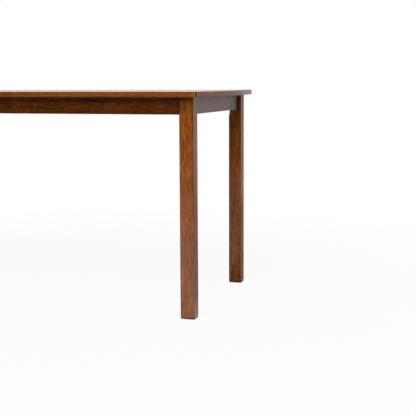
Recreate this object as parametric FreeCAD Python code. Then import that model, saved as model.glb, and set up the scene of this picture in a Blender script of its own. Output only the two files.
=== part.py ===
import FreeCAD
import Part
import math
import os

# Dining table. Origin on the floor under the middle of the top, X along the long sides,
# front at -Y, Z up, millimetres.

# Top
table_length = 1300.0        # over the bowed ends
table_width = 700.0
table_height = 750.0
top_thickness = 18.0
end_bow = 28.0               # how far each end swells past its own corners
corner_radius = 4.0
top_arris = 2.0              # rounding of the upper edge
under_arris = 1.2            # rounding of the lower edge
lipping_thickness = 6.0      # solid-wood edging round the veneered core

# Legs
leg_size = 48.0
leg_arris = 3.0
foot_chamfer = 2.5
end_overhang = 22.0          # top's corner past the leg's outer face, along X
side_overhang = 32.0         # top's edge past the leg's outer face, along Y
run_out_length = 27.0        # below the aprons, where the inner chamfer fades away

# Aprons and centre rail
apron_height = 57.0
apron_thickness = 18.0
apron_setback = 17.0         # apron's outer face behind the leg's outer face
apron_arris = 1.5
rail_width = 20.0
rail_height = 40.0
housing_depth = 6.0          # how far the rail's ends are let into the long aprons

# Corner blocks
block_height = 45.0
block_thickness = 22.0
block_gap = 12.0             # between the leg's chamfer and the block
block_screw_pitch = 24.0     # between the two screws of one end, one above the other
block_screw_grip = 10.0      # wood under a side screw's head
top_screw_offset = 12.0      # block's upright screws on each side of the bolt

# Hanger bolts, washers and nuts
bolt_diameter = 8.0
bolt_in_leg = 36.0
bolt_tip = 6.0
bolt_neck_depth = 0.7
bolt_neck_length = 3.0
bolt_end_chamfer = 1.0
bolt_past_nut = 4.0
bolt_hole_clearance = 0.5
washer_diameter = 20.0
washer_thickness = 1.6
washer_clearance = 0.2
nut_across_flats = 13.0
nut_height = 6.5
nut_chamfer_angle = 30.0     # degrees
bore_extra = 2.0             # bored deeper than the bolt or screw reaches
fit_clearance = 0.1          # radial, round a thread or a nail in its hole

# Wood screws
screw_diameter = 4.0
screw_tip = 6.0
screw_head_diameter = 8.0
screw_head_height = 2.6
screw_head_rounding = 1.0
recess_length = 4.4
recess_width = 0.9
recess_depth = 1.4
side_screw_length = 25.0
top_screw_length = 38.0
top_screw_grip = 25.0        # wood between the screw's head and the top
counterbore_clearance = 0.5
long_screw_count = 4
end_screw_count = 2
rail_screw_count = 3

# Foot glides and their nails
glide_diameter = 26.0
glide_height = 2.5
glide_rounding = 0.8
nail_head_diameter = 6.0
nail_head_height = 0.8
nail_head_inset = 0.6        # nail's head above the floor
nail_diameter = 2.2
nail_length = 18.0
nail_tip = 3.0

overrun = 5.0                # how far a cutter passes a face
edge_slack_share = 0.001     # of a piece's height, when its level edges are looked for

# Derived places
root_two = math.sqrt(2.0)
half_length = table_length / 2
half_width = table_width / 2
corner_x = half_length - end_bow
underside = table_height - top_thickness
leg_x = corner_x - end_overhang
leg_y = half_width - side_overhang
apron_bottom = underside - apron_height
apron_inner = apron_setback + apron_thickness
chamfer_depth = (leg_size - apron_inner) / root_two
leg_diagonal = leg_size * root_two
chamfer_place = leg_diagonal - chamfer_depth
block_near = chamfer_place + block_gap
block_far = block_near + block_thickness
bolt_level = underside - block_height / 2
bolt_start = chamfer_place - bolt_in_leg
washer_place = block_far
nut_place = washer_place + washer_thickness
bolt_end = nut_place + nut_height + bolt_past_nut
bow_radius = (half_width ** 2 + end_bow ** 2) / (2 * end_bow)
bow_centre_x = half_length - bow_radius

up = FreeCAD.Vector(0, 0, 1)
down = FreeCAD.Vector(0, 0, -1)
inward = FreeCAD.Vector(1, 1, 0).normalize()
across = FreeCAD.Vector(-1, 1, 0).normalize()

# Each corner: side along X, side along Y, and the turn that brings the corner's own
# frame there. In that frame the leg's outer corner is at zero and the table lies at +X, +Y.
corners = {
    "front_left": (-1, -1, 0),
    "front_right": (1, -1, 90),
    "back_right": (1, 1, 180),
    "back_left": (-1, 1, 270),
}


def at(x, y, z):
    return FreeCAD.Vector(x, y, z)


def box(low, high):
    size = high - low
    return Part.makeBox(size.x, size.y, size.z, low)


def revolved(profile):
    """Solid of a closed profile of (radius, height) points turned about Z."""
    points = [at(radius, 0, height) for radius, height in profile]
    face = Part.Face(Part.makePolygon(points + points[:1]))
    return face.revolve(at(0, 0, 0), up, 360)


def aimed(shape, place, direction):
    """The shape with its own zero at a place and its own Z along a direction."""
    shape = shape.copy()
    shape.Placement = FreeCAD.Placement(place, FreeCAD.Rotation(up, direction))
    return shape


def rod(radius, start, end):
    return Part.makeCylinder(radius, (end - start).Length, start, end - start)


def upright_edges(shape):
    return [e for e in shape.Edges if e.BoundBox.ZLength > shape.BoundBox.ZLength / 2]


def level_edges(shape, z):
    """Edges that lie flat at one height."""
    slack = shape.BoundBox.ZLength * edge_slack_share
    flat = [e for e in shape.Edges if e.BoundBox.ZLength < slack]
    return [e for e in flat if abs(e.BoundBox.ZMin - z) < slack]


def in_corner(shape, corner):
    """A shape of the corner's own frame, brought to that corner of the table."""
    side_x, side_y, turn = corners[corner]
    shape = shape.copy()
    shape.rotate(at(0, 0, 0), up, turn)
    shape.translate(at(side_x * leg_x, side_y * leg_y, 0))
    return shape


def in_all_corners(shapes):
    return [in_corner(shape, corner) for corner in corners for shape in shapes]


def spread(count, length):
    """Even places along a length centred on zero, half a step in from its ends."""
    return [length * ((i + 0.5) / count - 0.5) for i in range(count)]


# Fasteners


def screw(length):
    """Pan-head wood screw: head under zero, shank along +Z."""
    radius = screw_diameter / 2
    head_radius = screw_head_diameter / 2
    body = revolved([
        (0, -screw_head_height),
        (head_radius - screw_head_rounding, -screw_head_height),
        (head_radius, -screw_head_height + screw_head_rounding),
        (head_radius, 0),
        (radius, 0),
        (radius, length - screw_tip),
        (0, length),
    ])
    reach = recess_length / 2
    slot = recess_width / 2
    floor = -screw_head_height + recess_depth
    top = -screw_head_height - overrun
    one = box(at(-reach, -slot, top), at(reach, slot, floor))
    other = box(at(-slot, -reach, top), at(slot, reach, floor))
    return body.cut(one.fuse(other))


def screw_hole(length):
    """Thread hole of a wood screw along +Z, opening under the head."""
    radius = screw_diameter / 2 + fit_clearance
    depth = length - screw_tip
    return revolved([
        (0, -fit_clearance),
        (radius, -fit_clearance),
        (radius, depth),
        (0, length + bore_extra),
    ])


def counterbore(start, end):
    return rod(screw_head_diameter / 2 + counterbore_clearance, start, end)


def driven(shape, places):
    """Copies of a screw, or of its hole, at each seat and along each direction."""
    return [aimed(shape, place, direction) for place, direction in places]


def drilled(body, places, length, depth):
    """The body with screw holes, and with counterbores of one depth behind the seats."""
    for place, direction in places:
        body = body.cut(aimed(screw_hole(length), place, direction))
        body = body.cut(counterbore(place, place - direction * depth))
    return body


def side_screw_places():
    """Seats and directions of the screws from one corner block into both aprons."""
    along = (block_near + block_far) / 2 * root_two - apron_inner
    seat = apron_inner + block_screw_grip
    places = []
    for level in (bolt_level - block_screw_pitch / 2, bolt_level + block_screw_pitch / 2):
        places.append((at(along, seat, level), at(0, -1, 0)))
        places.append((at(seat, along, level), at(-1, 0, 0)))
    return places


def block_top_screw_places():
    middle = inward * ((block_near + block_far) / 2)
    level = at(0, 0, underside - top_screw_grip)
    offsets = (-top_screw_offset, top_screw_offset)
    return [(middle + across * offset + level, up) for offset in offsets]


def apron_top_screw_places():
    level = underside - top_screw_grip
    apron_y = leg_y - apron_setback - apron_thickness / 2
    apron_x = leg_x - apron_setback - apron_thickness / 2
    places = []
    for side in (-1, 1):
        for x in spread(long_screw_count, 2 * (leg_x - leg_size)):
            places.append((at(x, side * apron_y, level), up))
        for y in spread(end_screw_count, 2 * (leg_y - leg_size)):
            places.append((at(side * apron_x, y, level), up))
    return places


def rail_top_screw_places():
    level = underside - top_screw_grip
    return [(at(0, y, level), up) for y in spread(rail_screw_count, 2 * (leg_y - apron_inner))]


def hanger_bolt():
    """Wood thread in the leg, machine thread through the corner block."""
    radius = bolt_diameter / 2
    length = bolt_end - bolt_start
    neck = radius - bolt_neck_depth
    body = revolved([
        (0, 0),
        (radius, bolt_tip),
        (radius, bolt_in_leg - bolt_neck_length / 2),
        (neck, bolt_in_leg),
        (neck, bolt_in_leg + bolt_neck_length / 2),
        (radius, bolt_in_leg + bolt_neck_length),
        (radius, length - bolt_end_chamfer),
        (radius - bolt_end_chamfer, length),
        (0, length),
    ])
    return aimed(body, inward * bolt_start + up * bolt_level, inward)


def washer():
    hole = bolt_diameter / 2 + washer_clearance
    body = revolved([
        (hole, 0),
        (washer_diameter / 2, 0),
        (washer_diameter / 2, washer_thickness),
        (hole, washer_thickness),
    ])
    return aimed(body, inward * washer_place + up * bolt_level, inward)


def nut():
    flat = nut_across_flats / 2
    corner = flat / math.cos(math.radians(30))
    points = [at(corner, 0, 0)]
    for turn in range(1, 7):
        angle = math.radians(60 * turn)
        points.append(at(corner * math.cos(angle), corner * math.sin(angle), 0))
    hexagon = Part.Face(Part.makePolygon(points)).extrude(up * nut_height)
    drop = (corner - flat) * math.tan(math.radians(nut_chamfer_angle))
    turned = revolved([
        (0, 0),
        (flat, 0),
        (corner, drop),
        (corner, nut_height - drop),
        (flat, nut_height),
        (0, nut_height),
    ])
    bore = Part.makeCylinder(bolt_diameter / 2 + fit_clearance, nut_height + 2 * overrun, down * overrun)
    return aimed(hexagon.common(turned).cut(bore), inward * nut_place + up * bolt_level, inward)


def bolt_hole(start, end, clearance):
    level = up * bolt_level
    return rod(bolt_diameter / 2 + clearance, inward * start + level, inward * end + level)


# Legs, glides and nails


def leg_middle(z):
    return at(leg_size / 2, leg_size / 2, z)


def chamfer_cutter():
    """Cut on the leg's inner corner: straight down to the aprons' lower edge, then fading out
    along the arc that a round cutter leaves."""
    rise = chamfer_depth
    radius = (run_out_length ** 2 + rise ** 2) / (2 * rise)
    half_turn = math.asin(run_out_length / radius) / 2
    side = across * -leg_size
    high = underside + overrun
    reach = leg_diagonal + overrun

    def point(distance, z):
        return inward * distance + side + up * z

    start = point(chamfer_place, apron_bottom)
    middle = point(
        chamfer_place + radius * (1 - math.cos(half_turn)),
        apron_bottom - radius * math.sin(half_turn),
    )
    end = point(leg_diagonal, apron_bottom - run_out_length)
    rest = [end, point(reach, apron_bottom - run_out_length), point(reach, high),
            point(chamfer_place, high), start]
    edges = [Part.Arc(start, middle, end).toShape()]
    edges += [Part.LineSegment(a, b).toShape() for a, b in zip(rest, rest[1:])]
    return Part.Face(Part.Wire(edges)).extrude(across * (2 * leg_size))


def leg():
    body = box(at(0, 0, glide_height), at(leg_size, leg_size, underside))
    body = body.makeFillet(leg_arris, upright_edges(body))
    body = body.makeChamfer(foot_chamfer, level_edges(body, glide_height))
    body = body.cut(chamfer_cutter())
    body = body.cut(bolt_hole(bolt_start - bore_extra, leg_diagonal + overrun, fit_clearance))
    nail_end = nail_head_inset + nail_head_height + nail_length + bore_extra
    nail_hole = rod(nail_diameter / 2 + fit_clearance, leg_middle(0), leg_middle(nail_end))
    return body.cut(nail_hole)


def glide():
    body = Part.makeCylinder(glide_diameter / 2, glide_height)
    body = body.makeFillet(glide_rounding, level_edges(body, 0))
    shank = Part.makeCylinder(nail_diameter / 2 + fit_clearance, glide_height + overrun)
    seat = Part.makeCylinder(nail_head_diameter / 2 + fit_clearance, nail_head_inset + nail_head_height)
    return aimed(body.cut(shank).cut(seat), leg_middle(0), up)


def nail():
    radius = nail_diameter / 2
    seat = nail_head_height
    body = revolved([
        (0, 0),
        (nail_head_diameter / 2, 0),
        (nail_head_diameter / 2, seat),
        (radius, seat),
        (radius, seat + nail_length - nail_tip),
        (0, seat + nail_length),
    ])
    return aimed(body, leg_middle(nail_head_inset), up)


# Corner blocks


def corner_block():
    near = block_near * root_two - apron_inner
    far = block_far * root_two - apron_inner
    low = underside - block_height
    outline = [
        at(near, apron_inner, low),
        at(far, apron_inner, low),
        at(apron_inner, far, low),
        at(apron_inner, near, low),
    ]
    body = Part.Face(Part.makePolygon(outline + outline[:1])).extrude(up * block_height)
    body = body.cut(bolt_hole(block_near - overrun, block_far + overrun, bolt_hole_clearance))
    body = drilled(body, side_screw_places(), side_screw_length, block_far)
    return drilled(body, block_top_screw_places(), top_screw_length, block_height)


# Aprons and rail


def apron_body(low, high):
    """Board with its two long lower edges eased."""
    body = box(low, high)
    run = max((high - low).x, (high - low).y) / 2
    lower = [e for e in level_edges(body, low.z) if e.Length > run]
    return body.makeFillet(apron_arris, lower)


def with_screw_holes(body):
    """The apron, drilled for its upright screws and for those from the corner blocks."""
    body = drilled(body, apron_top_screw_places(), top_screw_length, apron_height)
    return body.cut(in_all_corners(driven(screw_hole(side_screw_length), side_screw_places())))


def rail_body():
    reach = leg_y - apron_inner + housing_depth
    half = rail_width / 2
    return box(at(-half, -reach, underside - rail_height), at(half, reach, underside))


def long_apron(side):
    end = leg_x - leg_size
    inner = leg_y - apron_inner
    outer = leg_y - apron_setback
    low, high = sorted((side * inner, side * outer))
    body = apron_body(at(-end, low, apron_bottom), at(end, high, underside))
    return with_screw_holes(body.cut(rail_body()))


def end_apron(side):
    end = leg_y - leg_size
    inner = leg_x - apron_inner
    outer = leg_x - apron_setback
    low, high = sorted((side * inner, side * outer))
    body = apron_body(at(low, -end, apron_bottom), at(high, end, underside))
    return with_screw_holes(body)


def centre_rail():
    return drilled(rail_body(), rail_top_screw_places(), top_screw_length, rail_height)


# Top


def bowed_prism(end_radius, half_across, low, high):
    """Prism with straight long sides and ends on arcs about the bows' own centres."""
    end = bow_centre_x + math.sqrt(end_radius ** 2 - half_across ** 2)
    middle = bow_centre_x + end_radius
    right = Part.Arc(at(end, -half_across, low), at(middle, 0, low), at(end, half_across, low))
    left = Part.Arc(at(-end, half_across, low), at(-middle, 0, low), at(-end, -half_across, low))
    back = Part.LineSegment(at(end, half_across, low), at(-end, half_across, low))
    front = Part.LineSegment(at(-end, -half_across, low), at(end, -half_across, low))
    wire = Part.Wire([edge.toShape() for edge in (right, back, left, front)])
    return Part.Face(wire).extrude(up * (high - low))


def whole_top():
    body = bowed_prism(bow_radius, half_width, underside, table_height)
    body = body.makeFillet(corner_radius, upright_edges(body))
    body = body.makeFillet(top_arris, level_edges(body, table_height))
    return body.makeFillet(under_arris, level_edges(body, underside))


def top_pieces():
    """Core panel and its four lippings. The end lippings cover the ends of the long ones."""
    whole = whole_top()
    low = underside - overrun
    high = table_height + overrun
    inner_radius = bow_radius - lipping_thickness
    core_plan = bowed_prism(inner_radius, half_width - lipping_thickness, low, high)
    long_plan = bowed_prism(inner_radius, half_width + overrun, low, high)
    core = whole.common(core_plan)
    hole = screw_hole(top_screw_length)
    core = core.cut(driven(hole, apron_top_screw_places() + rail_top_screw_places()))
    core = core.cut(in_all_corners(driven(hole, block_top_screw_places())))
    ends = sorted(whole.cut(long_plan).Solids, key=lambda s: s.CenterOfMass.x)
    sides = sorted(whole.common(long_plan).cut(core_plan).Solids, key=lambda s: s.CenterOfMass.y)
    return {
        "top_core_panel": core,
        "lipping_left": ends[0],
        "lipping_right": ends[1],
        "lipping_front": sides[0],
        "lipping_back": sides[1],
    }


def all_parts():
    parts = top_pieces()
    parts["apron_front"] = long_apron(-1)
    parts["apron_back"] = long_apron(1)
    parts["apron_left"] = end_apron(-1)
    parts["apron_right"] = end_apron(1)
    parts["centre_rail"] = centre_rail()
    per_corner = {
        "leg": leg(),
        "corner_block": corner_block(),
        "hanger_bolt": hanger_bolt(),
        "bolt_washer": washer(),
        "bolt_nut": nut(),
        "foot_glide": glide(),
    }
    for name, shape in per_corner.items():
        for corner in corners:
            parts[name + "_" + corner] = in_corner(shape, corner)
    side_screw = screw(side_screw_length)
    top_screw = screw(top_screw_length)
    groups = {
        "glide_nails": in_all_corners([nail()]),
        "block_side_screws": in_all_corners(driven(side_screw, side_screw_places())),
        "block_top_screws": in_all_corners(driven(top_screw, block_top_screw_places())),
        "apron_top_screws": driven(top_screw, apron_top_screw_places()),
        "rail_top_screws": driven(top_screw, rail_top_screw_places()),
    }
    for name, shapes in groups.items():
        parts[name] = Part.makeCompound(shapes)
    return parts


os.makedirs("parts", exist_ok=True)
for name, shape in all_parts().items():
    print(name, len(shape.Solids), "valid" if shape.isValid() else "NOT VALID", round(shape.Volume, 1))
    shape.exportStep("parts/" + name + ".step")
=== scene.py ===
import math

import bpy
import numpy as np
from mathutils import Matrix, Vector


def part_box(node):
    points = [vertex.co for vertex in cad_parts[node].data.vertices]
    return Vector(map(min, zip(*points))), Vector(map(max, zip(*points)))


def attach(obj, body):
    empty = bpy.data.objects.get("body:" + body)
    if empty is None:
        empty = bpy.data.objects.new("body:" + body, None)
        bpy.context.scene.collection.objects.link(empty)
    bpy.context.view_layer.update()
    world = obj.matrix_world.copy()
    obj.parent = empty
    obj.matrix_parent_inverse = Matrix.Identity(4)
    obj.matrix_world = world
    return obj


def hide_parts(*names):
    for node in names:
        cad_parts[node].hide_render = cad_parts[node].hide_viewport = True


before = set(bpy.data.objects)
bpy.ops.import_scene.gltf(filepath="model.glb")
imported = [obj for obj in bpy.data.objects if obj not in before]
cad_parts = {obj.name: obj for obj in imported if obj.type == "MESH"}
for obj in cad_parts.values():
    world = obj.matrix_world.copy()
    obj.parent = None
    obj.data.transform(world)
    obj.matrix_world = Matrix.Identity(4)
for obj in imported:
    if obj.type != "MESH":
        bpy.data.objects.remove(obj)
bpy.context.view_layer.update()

# Dining table dressed for rendering. Metres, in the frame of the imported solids: origin on the
# floor under the middle of the top, X along the long sides, front at -Y, Z up.

MM = 0.001
blunting = 0.1 * MM  # what the point of a bolt or screw is cut short by
root_two = math.sqrt(2)

# Top
half_width = 350 * MM
half_length = 650 * MM
end_bow = 28 * MM
corner_radius = 4 * MM
top_arris = 2 * MM
under_arris = 1.2 * MM
lipping_thickness = 6 * MM
joint_easing = 0.25 * MM  # fine groove where the lipping meets the veneer
table_height = 750 * MM
underside = 732 * MM
bow_radius = (half_width ** 2 + end_bow ** 2) / (2 * end_bow)
bow_centre_x = half_length - bow_radius
leaf_width = 172 * MM  # veneer leaves across the top
leaf_shift = 35 * MM  # how far each leaf's figure lies along from the last one's
leaf_thickness = 1.2 * MM
log_depth = 80 * MM  # how much deeper in the log the lower face's leaves lay
least_radius = 0.01 * MM  # of a corner that an inset has used up

# Marks on the lippings: the distance at which each ends, and the width over which it fades
end_grain_span, end_grain_fade = 3.6 * MM, 1.2 * MM  # dark cut ends, from the long side
end_grain_start, end_grain_rise = 1.4 * MM, 0.8 * MM  # and where they begin beside the joint
highlight_span_bowed, highlight_fade_bowed = 1.8 * MM, 0.6 * MM  # painted highlight at the corners, from the joint
highlight_reach, highlight_reach_fade = 3 * MM, 1 * MM  # and from the long side
highlight_span_long, highlight_fade_long = 2.4 * MM, 0.8 * MM

# Legs
leg_size = 48 * MM
leg_arris = 3 * MM
foot_chamfer = 2.5 * MM
foot_level = 2.5 * MM
apron_bottom = 675 * MM
chamfer_leg = 13 * MM  # flat cut on the inner corner, measured along each face
run_out_length = 27 * MM
sanding_swell = 0.07  # share by which a leg's rounding varies
ring_gap = 3 * MM  # least step between the rings of a leg's plain part
leg_x = 600 * MM
leg_y = 318 * MM

apron_setback = 17 * MM
apron_thickness = 18 * MM
joint_shade_reach = 13 * MM  # reach of the painted shade at an apron's ends and on the leg beside them
edge_wear = 6 * MM  # width of the worn band along an edge

# Hanger bolts, washers and nuts, along the diagonal from the leg's outer corner
block_near = 70.69 * MM
block_far = 92.69 * MM
bolt_level = 709.5 * MM
bolt_radius = 4 * MM
bolt_start = 22.69 * MM
bolt_in_leg = 36 * MM
bolt_tip = 6 * MM
bolt_neck_depth = 0.7 * MM
bolt_neck_length = 3 * MM
bolt_end_chamfer = 1 * MM
bolt_past_nut = 4 * MM
wood_pitch, wood_thread_depth, wood_thread_start = 3.0 * MM, 0.9 * MM, 1 * MM
machine_pitch, machine_thread_depth = 1.25 * MM, 0.62 * MM
washer_thickness = 1.6 * MM
washer_radius = 10 * MM
washer_hole = 4.2 * MM
nut_height = 6.5 * MM
nut_flat = 6.5 * MM  # half of the distance across flats
nut_bore = 4.1 * MM

# Wood screws
screw_radius = 2 * MM
screw_tip = 6 * MM
screw_pole_radius = 0.04 * MM  # smallest ring of the head, closed by a flat face
screw_pitch, screw_thread_depth = 1.8 * MM, 0.65 * MM
screw_head_radius = 4 * MM
screw_head_height = 2.6 * MM
screw_head_rounding = 1 * MM
recess_length = 4.4 * MM
recess_width = 0.9 * MM
recess_depth = 1.4 * MM
side_screw_length, side_thread_start = 25 * MM, 3 * MM
top_screw_length, top_thread_start = 38 * MM, 12 * MM
top_screw_level = 707 * MM  # under the screw's head
block_screw_pitch = 24 * MM
block_screw_grip = 10 * MM
top_screw_offset = 12 * MM

# Glides and nails
scuff_height = 0.9 * MM
glide_radius = 13 * MM
glide_rounding = 0.8 * MM
nail_seat_radius = 3.1 * MM
nail_seat_depth = 1.4 * MM
nail_hole_radius = 1.2 * MM
nail_head_radius = 3 * MM
nail_head_height = 0.8 * MM
nail_head_inset = 0.6 * MM
nail_radius = 1.1 * MM
nail_length = 18 * MM
nail_tip = 3 * MM
nail_ridge_pitch = 1.5 * MM
nail_pole_radius, nail_point_radius = 0.05 * MM, 0.03 * MM
inner_groove, outer_groove = 6 * MM, 9 * MM
groove_slope, groove_depth = 0.2 * MM, 0.25 * MM

# Side in X, side in Y, and turn in degrees from the front left corner
corners = {
    "front_left": (-1, -1, 0),
    "front_right": (1, -1, 90),
    "back_right": (1, 1, 180),
    "back_left": (-1, 1, 270),
}


# Node trees


def linked(value):
    """Whether a value is a node's socket."""
    return isinstance(value, bpy.types.NodeSocket)


def tree_of(values):
    """Node tree that the sockets among some values belong to."""
    return next(value.id_data for value in values if linked(value))


def give(socket, value):
    """Links a socket to a result, or sets its value."""
    if linked(value):
        socket.id_data.links.new(value, socket)
    else:
        socket.default_value = value


def give_all(node, **inputs):
    """Gives each named input of a node a value or a link."""
    for key, value in inputs.items():
        give(node.inputs[key.replace("_", " ")], value)


def put(tree, kind, settings=None, **inputs):
    """Adds a shader node, sets its options, and gives its named inputs their values."""
    node = tree.nodes.new("ShaderNode" + kind)
    for key, value in (settings or {}).items():
        setattr(node, key, value)
    give_all(node, **inputs)
    return node


def put_in_order(kind, *values, **settings):
    """Outputs of a new node, its options set and its inputs given in their order."""
    node = put(tree_of(values), kind, settings)
    for socket, value in zip(node.inputs, values):
        give(socket, value)
    return node.outputs


def calc(operation, *values, clamp=False):
    """Result of a Math node."""
    return put_in_order("Math", *values, operation=operation, use_clamp=clamp)[0]


def times(product, *factors):
    """Product of all the values."""
    for factor in factors:
        product = calc("MULTIPLY", product, factor)
    return product


def total(amount, *terms):
    """An amount plus each term's value times its weight."""
    for value, weight in terms:
        amount = calc("MULTIPLY_ADD", value, weight, amount)
    return amount


def vector_calc(operation, *values):
    """Result of a Vector Math node."""
    outputs = put_in_order("VectorMath", *values, operation=operation)
    return outputs["Value" if operation in ("LENGTH", "DOT_PRODUCT") else "Vector"]


def vector_of(x, y, z):
    """Vector with three given parts."""
    return put_in_order("CombineXYZ", x, y, z)[0]


def parts_of(vector):
    """The X, Y and Z of a vector."""
    return put_in_order("SeparateXYZ", vector)


def object_place(tree):
    """Object coordinates, which are the table's own, as no piece is moved."""
    return put(tree, "TexCoord").outputs["Object"]


def attribute(tree, name, output="Fac"):
    """Attribute that a mesh carries."""
    return put(tree, "Attribute", {"attribute_name": name}).outputs[output]


def ramp(value, low, high, to_low=0.0, to_high=1.0):
    """Smooth step of a value from one span to another."""
    return put_in_order("MapRange", value, low, high, to_low, to_high, interpolation_type="SMOOTHSTEP")[0]


def tint(factor, first, second, mode="MIX"):
    """Two colours mixed by a factor."""
    node = put(tree_of((factor, first, second)), "Mix", {"data_type": "RGBA", "blend_type": mode})
    give(node.inputs[0], factor)
    give(node.inputs[6], first)
    give(node.inputs[7], second)
    return node.outputs[2]


def stained(colour, stain, share=None):
    """A colour times a stain, all over or by a share."""
    deep = tint(1.0, colour, stain, "MULTIPLY")
    return deep if share is None else tint(share, colour, deep)


def noise(vector, scale, detail=2.0, roughness=0.5, distortion=0.0, output="Fac"):
    """Noise over a vector that is first stretched by three scales."""
    stretched = vector_calc("MULTIPLY", vector, scale)
    node = put(vector.id_data, "TexNoise", Vector=stretched, Scale=1.0,
               Detail=detail, Roughness=roughness, Distortion=distortion)
    return node.outputs[output]


def effect(name, inputs, outputs):
    """Node group with named inputs, whose kind follows from their values, and named outputs."""
    tree = bpy.data.node_groups.new(name, "ShaderNodeTree")
    for socket, value in inputs.items():
        kind = "NodeSocketVector" if isinstance(value, tuple) else "NodeSocketFloat"
        tree.interface.new_socket(name=socket, in_out="INPUT", socket_type=kind).default_value = value
    for socket in outputs:
        tree.interface.new_socket(name=socket, in_out="OUTPUT", socket_type="NodeSocketFloat")
    source = tree.nodes.new("NodeGroupInput").outputs
    sink = tree.nodes.new("NodeGroupOutput").inputs
    return tree, source, sink


def use(group, **inputs):
    """Outputs of a node group on some inputs."""
    return put(tree_of(inputs.values()), "Group", {"node_tree": group}, **inputs).outputs


NOWHERE = (0, 0, 0)


def growth_group():
    """Figure of sawn wood whose grain runs along X. Rings are shells about a wandering pith line,
    sharp on their outer side. Streaks, flecks, mottle and pores are noise drawn out along the
    grain, and the ribbon is noise drawn out slantwise, as interlocked grain catches the light."""
    tree, source, sink = effect(
        "growth_figure",
        {"Vector": NOWHERE, "Seed": NOWHERE, "Pith": NOWHERE, "Ring Width": 4 * MM, "Wander": 0.01,
         "Taper": 0.01},
        ("Rings", "Streaks", "Flecks", "Mottle", "Pores", "Ribbon"))
    place = vector_calc("ADD", source["Vector"], source["Seed"])
    drift = noise(place, (1.6, 7.0, 7.0), output="Color")
    drift = vector_calc("SCALE", vector_calc("SUBTRACT", drift, (0.5, 0.5, 0.5)))
    give(drift.node.inputs["Scale"], source["Wander"])
    from_pith = vector_calc("SUBTRACT", source["Vector"], source["Pith"])
    parts = parts_of(vector_calc("ADD", from_pith, drift))
    across = vector_calc("LENGTH", vector_of(0.0, parts["Y"], parts["Z"]))
    radius = total(across, (parts["X"], source["Taper"]))
    ripple = total(-0.35, (noise(place, (7.0, 60.0, 60.0), 3.0), 0.7))
    phase = calc("ADD", calc("DIVIDE", radius, source["Ring Width"]), ripple)
    saw = calc("FRACT", phase)
    band = times(ramp(saw, 0.1, 0.85), ramp(saw, 0.9, 1.0, 1.0, 0.0))
    chance = put(tree, "TexWhiteNoise", {"noise_dimensions": "1D"}, W=calc("FLOOR", phase)).outputs["Value"]
    give(sink["Rings"], times(band, total(0.25, (chance, 0.75))))
    give(sink["Streaks"], noise(place, (14.0, 330.0, 330.0), 4.0, 0.62))
    give(sink["Flecks"], noise(place, (26.0, 190.0, 190.0), 2.0, 0.55, 0.4))
    give(sink["Mottle"], noise(place, (9.0, 30.0, 30.0), 3.0, 0.55, 0.5))
    slant = put(tree, "VectorRotate", {"rotation_type": "Y_AXIS"}, Vector=place, Angle=0.7).outputs[0]
    give(sink["Ribbon"], noise(slant, (26.0, 50.0, 110.0), 3.0, 0.6, 0.6))
    dashes = noise(place, (75.0, 2100.0, 2100.0), 0.0)
    give(sink["Pores"], ramp(dashes, 0.62, 0.74))
    return tree


def edge_group():
    """How near a point is to the edges of a box: one where two faces meet, zero a width away.
    The point's distance past each face's own band is taken, and the two largest multiplied."""
    tree, source, sink = effect(
        "box_edges", {"Vector": NOWHERE, "Middle": NOWHERE, "Half": (1, 1, 1), "Width": 3 * MM},
        ("Edge",))
    away = vector_calc("SUBTRACT", source["Vector"], source["Middle"])
    away = vector_calc("ABSOLUTE", away)
    parts = parts_of(vector_calc("SUBTRACT", away, source["Half"]))
    near = [calc("ADD", calc("DIVIDE", parts[axis], source["Width"]), 1.0, clamp=True)
            for axis in "XYZ"]
    pairs = [times(near[a], near[b]) for a, b in ((0, 1), (1, 2), (2, 0))]
    top = calc("MAXIMUM", calc("MAXIMUM", pairs[0], pairs[1]), pairs[2])
    give(sink["Edge"], ramp(top, 0.0, 1.0))
    return tree


def handling_group():
    """Uneven gloss of a handled, wiped surface: broad clouds and fine hazy strokes."""
    tree, source, sink = effect("handling", {"Vector": NOWHERE, "Seed": NOWHERE}, ("Cloud", "Haze"))
    place = vector_calc("ADD", source["Vector"], source["Seed"])
    give(sink["Cloud"], noise(place, (5.0, 9.0, 9.0), 3.0))
    give(sink["Haze"], noise(place, (30.0, 240.0, 240.0), 3.0, 0.6))
    return tree


growth = growth_group()
box_edges = edge_group()
handling = handling_group()


# Materials

# Deep, middle and light tones of each wood
WALNUT_STAIN = ((0.135, 0.032, 0.0030, 1), (0.265, 0.070, 0.0065, 1), (0.42, 0.130, 0.015, 1))
LIPPING_STAIN = ((0.16, 0.039, 0.0012, 1), (0.27, 0.069, 0.0022, 1), (0.37, 0.101, 0.006, 1))
RAW_WOOD = ((0.42, 0.27, 0.15, 1), (0.58, 0.41, 0.25, 1), (0.70, 0.53, 0.35, 1))

# What a wood's colour is multiplied by
RED_RIBBON = (0.95, 0.78, 0.70, 1)
LEG_EDGES = (0.48, 0.40, 0.32, 1)
APRON_EDGES = (0.6, 0.5, 0.4, 1)
# Painted shade where aprons and legs meet
JOINT_SHADE = (0.22, 0.18, 0.15, 1)
LIPPING_EDGES = (0.60, 0.45, 0.28, 1)
# Dark cut ends of the lippings' grain, and painted shade under their lower arris
DARK_ENDS_AND_UNDER_SHADE = (0.30, 0.28, 0.30, 1)

# Painted highlight on the lippings beside the joint at the top's corners
PAINTED_HIGHLIGHT = (0.40, 0.175, 0.06, 1)
LEAF_SEAM = (0.05, 0.016, 0.006, 1)

# Each leg's pith beside its middle, tone and gloss
leg_woods = [((0.0, 0.035, 0.052), 1.0, 0.75), ((0.0, -0.030, 0.060), 1.06, 0.72),
             ((0.0, 0.046, -0.040), 1.24, 0.42), ((0.0, -0.05, -0.038), 0.97, 0.75)]


def new_material(name):
    """Material and its node tree."""
    material = bpy.data.materials.new(name)
    material.use_nodes = True
    return material, material.node_tree


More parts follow.
